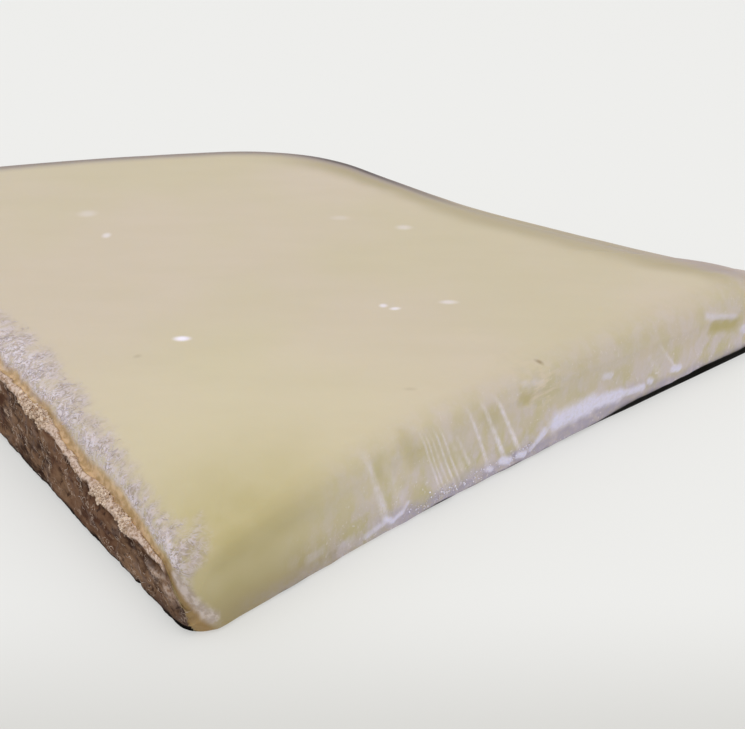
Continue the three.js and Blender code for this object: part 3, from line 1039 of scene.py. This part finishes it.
def make_pieces():
    surface = Surface()
    surface.paint()
    surface.carve()
    add_piece("cheese", *closed_slab(surface), cheese_material())

    generator = np.random.default_rng(SEED)
    masks = surface.masks
    x, y, z = np.moveaxis(surface.grid, 2, 0)
    chance = masks["crust"] ** 2 * (0.04 + surface.crumbly) * (1 - 0.6 * smoothstep(70, 100, y))
    dry = grain_material("crust_grain", colour(158, 128, 102), colour(234, 212, 192))
    add_piece("crust_crumbs", *crumbs(surface, chance, CRUST_CRUMBS, (0.08, 0.27), generator), dry)

    bunches = smoothstep(0.0, 0.35, fractal(surface.grid, (4.0, 4.0, 3.0), 99, 2))
    bare = masks["rind"] * (1 - masks["crust"])
    chance = bare * smoothstep(1.0, 2.0, z) * (0.1 + bunches) * (1 - 0.5 * smoothstep(70, 100, y))
    pale = grain_material("rind_fibre", colour(116, 94, 80), colour(206, 186, 172))
    made = strands(surface, chance, RIND_FIBRES, (0.5, 2.4), (0.05, 0.13), (0, 360), 0.35, generator)
    add_piece("rind_fibres", *made, pale)

    clumps = smoothstep(-0.1, 0.4, fractal(surface.grid, (3.0, 3.0, 3.0), 97, 2))
    inside = (surface.from_rind > 0) * (surface.past_near < -2.5)
    chance = (0.25 * masks["frost"] + masks["bloom"]) * clumps * inside
    white = grain_material("frost_fibre", colour(180, 165, 161), colour(210, 199, 205))
    made = strands(surface, chance, FROST_FIBRES, (0.5, 1.6), (0.05, 0.14), (10, 120), 0.5, generator)
    add_piece("frost_fibres", *made, white)

    line = bell(z - 2.1, 0.7) * smoothstep(34, 40, x) * fall(60, 64, x)
    chance = surface.share[None, :, FRONT] * line * (1 - masks["smear"])
    bright = grain_material("paste_grain", colour(196, 188, 200), colour(232, 228, 242))
    add_piece("paste_crumbs", *crumbs(surface, chance, PASTE_CRUMBS, (0.06, 0.18), generator), bright)


# Materials


def in_metres(x, y, z=0.0):
    """A place of the plan frame in the frame of the part."""
    return ((x - PLAN_MIDDLE[0]) * MM, (y - PLAN_MIDDLE[1]) * MM, z * MM)


def colour(red, green, blue):
    """A linear colour from the 0 to 255 values seen on a screen."""
    screen = np.array([red, green, blue]) / 255.0
    linear = np.where(screen <= 0.04045, screen / 12.92, ((screen + 0.055) / 1.055) ** 2.4)
    return (*linear.tolist(), 1.0)


class Nodes:
    """Short calls for the nodes of one material."""

    def __init__(self, name):
        self.material = bpy.data.materials.new(name)
        self.material.use_nodes = True
        self.tree = self.material.node_tree
        self.shader = self.tree.nodes["Principled BSDF"]
        self.place = self.new("ShaderNodeTexCoord").outputs["Object"]

    def new(self, kind, inputs=None, **settings):
        node = self.tree.nodes.new(kind)
        for key, value in settings.items():
            setattr(node, key, value)
        self.fill(node, inputs or {})
        return node

    def fill(self, node, inputs):
        """Links or sets the inputs of a node, by their names or numbers."""
        for key, value in inputs.items():
            if isinstance(value, bpy.types.NodeSocket):
                self.tree.links.new(value, node.inputs[key])
            else:
                node.inputs[key].default_value = value

    def mask(self, name):
        return self.new("ShaderNodeAttribute", attribute_name=name).outputs["Fac"]

    def math(self, operation, a, b=0.0, clamp=False):
        node = self.new("ShaderNodeMath", {0: a, 1: b}, operation=operation, use_clamp=clamp)
        return node.outputs[0]

    def times(self, a, b, clamp=False):
        return self.math("MULTIPLY", a, b, clamp)

    def total(self, first, *others):
        for other in others:
            first = self.math("ADD", first, other)
        return first

    def highest(self, first, *others):
        for other in others:
            first = self.math("MAXIMUM", first, other)
        return first

    def mapped(self, location=(0.0, 0.0, 0.0), turn=0.0, scale=(1.0, 1.0, 1.0)):
        """Coordinates from a place, along a direction of the plan, in steps of the scale."""
        rotation = (0.0, 0.0, math.radians(turn))
        inputs = {"Vector": self.place, "Location": location, "Rotation": rotation, "Scale": scale}
        return self.new("ShaderNodeMapping", inputs, vector_type="TEXTURE").outputs[0]

    def length(self, vector):
        return self.new("ShaderNodeVectorMath", {0: vector}, operation="LENGTH").outputs["Value"]

    def noise(self, size_mm, detail=3.0, stretch=(1.0, 1.0, 1.0), turn=0.0, distortion=0.0):
        """Noise with cells of that size, stretched along a direction of the plan."""
        vector = self.mapped(turn=turn, scale=tuple(size_mm * MM * s for s in stretch))
        inputs = {"Vector": vector, "Scale": 1.0, "Detail": detail}
        inputs |= {"Roughness": 0.6, "Distortion": distortion}
        return self.new("ShaderNodeTexNoise", inputs).outputs["Fac"]

    def curls(self, size_mm, width, stretch=(1.0, 1.0, 1.0), turn=0.0, distortion=1.0):
        """Thin curly lines along the middle level of a noise."""
        level = self.noise(size_mm, 2.0, stretch, turn, distortion)
        away = self.math("ABSOLUTE", self.math("SUBTRACT", level, 0.5))
        return self.between(away, 0.25 * width, width, 1.0, 0.0)

    def between(self, value, low, high, to_low=0.0, to_high=1.0):
        """Goes smoothly from one level to another while the value goes from low to high."""
        ends = {"From Min": low, "From Max": high, "To Min": to_low, "To Max": to_high}
        inputs = {"Value": value, **ends}
        return self.new("ShaderNodeMapRange", inputs, interpolation_type="SMOOTHSTEP").outputs["Result"]

    def patches(self, size_mm, low, high, to_low=0.0, to_high=1.0, **shape):
        """Patches of that size, from a noise cut between two of its levels."""
        return self.between(self.noise(size_mm, **shape), low, high, to_low, to_high)

    def mix(self, amount, a, b):
        return self.new("ShaderNodeMix", {0: amount, 6: a, 7: b}, data_type="RGBA").outputs[2]

    def tint(self, base, amount, red, green, blue):
        """The base colour, moved by that amount towards a colour as seen on a screen."""
        return self.mix(amount, base, colour(red, green, blue))

    def radial(self, at, far, near):
        """1 at a place of the plan, falling to 0 at the far distance."""
        distance = self.length(self.mapped(in_metres(*at)))
        return self.between(distance, near * MM, far * MM, 1.0, 0.0)

    def spots(self, places):
        """Oval spots on the top face."""
        made = []
        for x, y, half_length, half_width, turn, strength in places:
            scale = (half_length * MM, half_width * MM, SPECK_DEPTH * MM)
            distance = self.length(self.mapped(in_metres(x, y, THICKNESS), turn, scale))
            made.append(self.between(distance, 0.15, 1.0, strength, 0.0))
        return self.highest(*made)

    def finish(self, height, inputs):
        """The material with fine relief from a height in millimetres, and inputs of its shader."""
        bump = self.new("ShaderNodeBump", {"Strength": 1.0, "Distance": MM, "Height": height})
        self.fill(self.shader, {"Normal": bump.outputs["Normal"], **inputs})
        return self.material


def softness(weight, scale_mm):
    """Light that spreads under the surface."""
    return {
        "Subsurface Weight": weight,
        "Subsurface Radius": (1.0, 0.75, 0.4),
        "Subsurface Scale": scale_mm * MM,
    }


def paste_colour(n):
    """Warm beige, yellower and darker towards the near corner, with specks, and painted shade and a
    painted mauve sheen on the far rims.
    """
    paste = n.mix(n.patches(45, 0.35, 0.65, detail=2), colour(199, 186, 168), colour(196, 185, 161))
    paste = n.tint(paste, n.times(n.radial(NEAR_CORNER_AT, 62.0, 8.0), 0.75), 206, 196, 164)
    patchy = n.patches(9, 0.3, 0.7, 0.7, 1.0, detail=2)
    paste = n.tint(paste, n.times(n.mask("olive"), patchy, clamp=True), 181, 169, 124)
    mottle = n.patches(6, 0.3, 0.7, 0.0, 0.10, stretch=(3.0, 1.0, 1.0), turn=MOTTLE_TURN)
    paste = n.tint(paste, mottle, 180, 168, 138)
    paste = n.tint(paste, n.spots(TOP_SPECKS), 236, 230, 242)
    paste = n.tint(paste, n.spots(DARK_SPECKS), 136, 116, 84)
    # Painted shade and a painted mauve sheen on the far rims
    paste = n.tint(paste, n.mask("rim_olive"), 170, 158, 131)
    mauve = n.mix(n.radial(RIGHT["at"], 45.0, 12.0), colour(160, 149, 145), colour(178, 165, 163))
    paste = n.mix(n.mask("mauve"), paste, mauve)
    return n.tint(paste, n.mask("rim_dark"), 100, 92, 90)


def front_finish(n, paste):
    """A hazy dry film with a painted lavender sheen, painted shade by the near corner, a band along the
    foot with painted shade and a painted cool reflection, knife streaks, smears and hollows of the
    front side.
    """
    haze_and_sheen, grain = n.mask("haze_and_sheen"), n.noise(0.5)
    # Painted shade low on the front by the near corner
    paste = n.tint(paste, n.times(n.mask("shade"), 0.7), 139, 124, 89)
    yellow = n.patches(3.6, 0.42, 0.6, 0.0, 0.7, stretch=(1.0, 1.0, 1.6))
    paste = n.tint(paste, n.times(haze_and_sheen, yellow), 184, 176, 128)
    # Painted lavender sheen over the dry film, which also lightens the front
    cloud = n.patches(2.6, 0.40, 0.62, 0.1, 0.9, detail=4, stretch=(1.0, 1.0, 1.8))
    cloud = n.times(cloud, n.between(grain, 0.3, 0.7, 0.75, 1.0))
    paste = n.tint(paste, n.times(haze_and_sheen, cloud), 204, 193, 200)
    # Band along the foot with paste, painted shade and a painted cool reflection
    paste = n.tint(paste, n.times(n.mask("skirt_shade_and_sheen"), n.patches(1.6, 0.3, 0.6, 0.45, 0.95)), 168, 160, 174)
    specks = n.patches(0.42, 0.60, 0.70, stretch=(1.0, 1.0, 1.6))
    specks = n.times(specks, n.patches(3.0, 0.42, 0.58, detail=2))
    paste = n.tint(paste, n.times(specks, n.times(haze_and_sheen, 0.75)), 224, 216, 218)
    fine = n.patches(0.3, 0.34, 0.6, 0.55, 1.0, detail=2, stretch=(1.0, 1.0, 2.6))
    paste = n.tint(paste, n.times(n.mask("streak"), fine), 224, 216, 222)
    flecks = n.patches(0.6, 0.32, 0.58, 0.72, 1.0, detail=4)
    paste = n.tint(paste, n.times(n.mask("smear"), flecks), 216, 212, 232)
    flaky = n.patches(1.1, 0.42, 0.60, 0.0, 0.85, stretch=(2.6, 2.6, 0.8))
    paste = n.tint(paste, n.times(n.mask("scuff"), flaky), 212, 197, 176)
    return n.tint(paste, n.mask("pit"), 178, 166, 114), n.times(haze_and_sheen, grain)


def frost_finish(n, paste):
    """Pale brushed strokes over a mauve ground, with bare gaps, and how much there is of them."""
    frost, bloom = n.mask("frost"), n.mask("bloom")
    clumps = n.noise(2.2)
    ground = n.times(frost, n.between(clumps, 0.34, 0.60, 0.30, 0.9), clamp=True)
    tone = n.mix(n.patches(1.3, 0.4, 0.6), colour(162, 148, 140), colour(187, 173, 171))
    paste = n.mix(ground, paste, tone)
    lines = [n.curls(1.15, 0.06, (stretch, 1.0, 1.0), turn, 0.8) for turn, stretch in STROKE_WAYS]
    thick = n.times(bloom, n.between(clumps, 0.36, 0.58, 0.45, 1.0))
    thin = n.times(frost, n.between(clumps, 0.42, 0.62, 0.15, 0.6))
    lit = n.times(n.highest(*lines), n.highest(thick, thin), clamp=True)
    dusty = n.times(thick, n.patches(0.9, 0.50, 0.66, 0.0, 0.6, detail=4))
    paste = n.tint(paste, dusty, 204, 191, 190)
    return n.tint(paste, lit, 216, 206, 212), frost, lit


def rind_finish(n):
    """Browns with greyish patches, pale curls and darker pits, painted shade at the foot with a painted
    black shadow line, and a pale crust.
    """
    large = n.noise(4.2, stretch=(1.0, 2.0, 1.0))
    small = n.noise(1.3, 4, stretch=(1.0, 1.8, 1.0))
    mixed = n.total(n.times(large, 0.55), n.times(small, 0.45))
    brown = n.mix(n.between(mixed, 0.40, 0.60), colour(56, 38, 30), colour(128, 100, 78))
    brown = n.tint(brown, n.patches(7.0, 0.45, 0.6, 0.0, 0.45, detail=2), 96, 64, 48)
    brown = n.tint(brown, n.patches(3.2, 0.54, 0.66, 0.0, 0.5), 112, 96, 90)
    scratches = n.noise(0.40, 4, stretch=(1.0, 5.0, 1.6), distortion=0.9)
    brown = n.tint(brown, n.between(scratches, 0.56, 0.72, 0.0, 0.5), 150, 124, 104)
    brown = n.tint(brown, n.patches(0.8, 0.56, 0.68, 0.0, 0.7), 50, 35, 30)
    pale = n.times(n.curls(1.2, 0.03), n.patches(2.8, 0.50, 0.60, 0.0, 0.8, detail=2))
    brown = n.tint(brown, pale, 186, 166, 150)
    brown = n.tint(brown, n.mask("hollow"), 72, 47, 30)
    # Painted shade at the foot of the rind, then a painted near black shadow line along the floor
    brown = n.tint(brown, n.times(n.mask("foot"), 0.8), 48, 36, 36)
    brown = n.tint(brown, n.mask("sole_shadow"), 7, 5, 4)
    crumb = n.noise(0.34, 4)
    rough = n.mix(n.between(crumb, 0.38, 0.54), colour(134, 105, 82), colour(231, 209, 188))
    smooth = n.mix(n.patches(0.5, 0.36, 0.6, detail=4), colour(168, 138, 114), colour(224, 202, 188))
    tan = n.mix(n.mask("crumbly"), smooth, rough)
    return n.mix(n.mask("crust"), brown, tan), crumb, scratches


def cheese_material():
    n = Nodes("cheese_paste_and_rind")
    rind, crust, dark = n.mask("rind"), n.mask("crust"), n.mask("underside")
    surface, grainy = front_finish(n, paste_colour(n))
    surface, frost, lit = frost_finish(n, surface)

    golden = n.mix(n.patches(1.2, 0.35, 0.65), colour(175, 144, 101), colour(212, 182, 145))
    golden = n.tint(golden, n.times(n.mask("umber"), 0.85), 134, 107, 68)
    surface = n.mix(n.times(n.mask("amber"), 0.9), surface, golden)
    pale = n.mix(n.patches(0.9, 0.42, 0.62), colour(174, 160, 152), colour(206, 194, 191))
    surface = n.mix(n.times(n.mask("stripe"), 0.8), surface, pale)
    brown, crumb, scratches = rind_finish(n)
    surface = n.mix(crust, n.mix(rind, surface, brown), brown)
    weight = n.between(n.highest(rind, dark), 0.0, 1.0, 0.2, 0.0)
    relief = (
        n.times(n.noise(0.7), 0.02),
        n.times(lit, 0.08),
        n.times(grainy, 0.05),
        n.times(n.times(rind, scratches), 0.25),
        n.times(n.times(crust, crumb), 0.35),
    )
    look = {
        # Near black painted shadow under the front's lip and along its floor line
        "Base Color": n.tint(surface, dark, 9, 7, 3),
        "Roughness": n.total(n.times(rind, 0.30), n.times(frost, 0.15), PASTE_ROUGHNESS),
        "Specular IOR Level": 0.02,
    }
    return n.finish(n.total(*relief), look | softness(weight, 4.0))


def grain_material(name, dark, light):
    """Dry grains, each with its own tone, and slightly uneven."""
    n = Nodes(name)
    tone = n.math("ADD", n.mask("tone"), n.patches(0.25, 0.3, 0.7, -0.15, 0.15), clamp=True)
    look = {"Base Color": n.mix(tone, dark, light), "Roughness": 0.7, "Specular IOR Level": 0.3}
    return n.finish(n.times(n.noise(0.2), 0.03), look | softness(0.15, 1.0))


def floor_material():
    """A pale floor with a painted falloff of light that darkens it slowly towards the viewer, and a
    glow of its own that weakens shadows.
    """
    n = Nodes("floor_plain")
    # Painted falloff of light: the floor darkens towards the camera
    turned = n.mapped(in_metres(*CAMERA_AT[:2]), -CAMERA_HEADING)
    away = n.new("ShaderNodeSeparateXYZ", {0: turned}).outputs["Y"]
    ramp = n.between(away, LIGHT_FALLOFF_NEAR * MM, LIGHT_FALLOFF_FAR * MM)
    tint = n.mix(ramp, colour(*FLOOR_NEAR), colour(*FLOOR_FAR))
    look = {
        "Base Color": n.mix(FLOOR_GLOW, tint, (0.0, 0.0, 0.0, 1.0)),
        "Emission Color": tint,
        "Emission Strength": FULL_GLOW * FLOOR_GLOW,
        "Roughness": 0.9,
        "Specular IOR Level": 0.1,
    }
    n.fill(n.shader, look)
    return n.material


# Stage


def make_floor():
    half = FLOOR_SIZE / 2
    mesh = bpy.data.meshes.new("floor")
    corners = [(-half, -half, 0.0), (half, -half, 0.0), (half, half, 0.0), (-half, half, 0.0)]
    mesh.from_pydata(corners, [], [(0, 1, 2, 3)])
    mesh.materials.append(floor_material())
    floor = put_in_scene("floor", mesh)


def make_camera():
    data = bpy.data.cameras.new("camera")
    data.lens = CAMERA_LENS
    data.sensor_width = 36.0
    data.clip_start = 0.005
    data.clip_end = 50.0
    camera = put_in_scene("camera", data)
    camera.location = in_metres(*CAMERA_AT)
    camera.rotation_euler = (math.radians(90 - CAMERA_PITCH), 0.0, math.radians(-CAMERA_HEADING))
    bpy.context.scene.camera = camera


def make_light():
    """A square light above the slab that faces its middle."""
    data = bpy.data.lights.new("overhead", "AREA")
    data.shape = "SQUARE"
    data.size = LIGHT_SIZE
    data.energy = LIGHT_POWER
    data.color = LIGHT_TINT
    light = put_in_scene("overhead", data)
    light.location = LIGHT_AT
    light.rotation_euler = (-Vector(LIGHT_AT)).to_track_quat("-Z", "Y").to_euler()


def make_world():
    world = bpy.data.worlds.new("studio")
    world.use_nodes = True
    background = world.node_tree.nodes["Background"]
    background.inputs["Color"].default_value = (1.0, 1.0, 1.0, 1.0)
    background.inputs["Strength"].default_value = SKY_STRENGTH
    bpy.context.scene.world = world


def make_studio():
    make_floor()
    make_world()
    make_light()
    view = bpy.context.scene.view_settings
    view.view_transform = "Standard"
    view.look = "None"
    view.exposure = 0.0
    view.gamma = 1.0


def main():
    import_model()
    make_camera()
    make_pieces()
    make_studio()
    bpy.context.view_layer.update()


main()
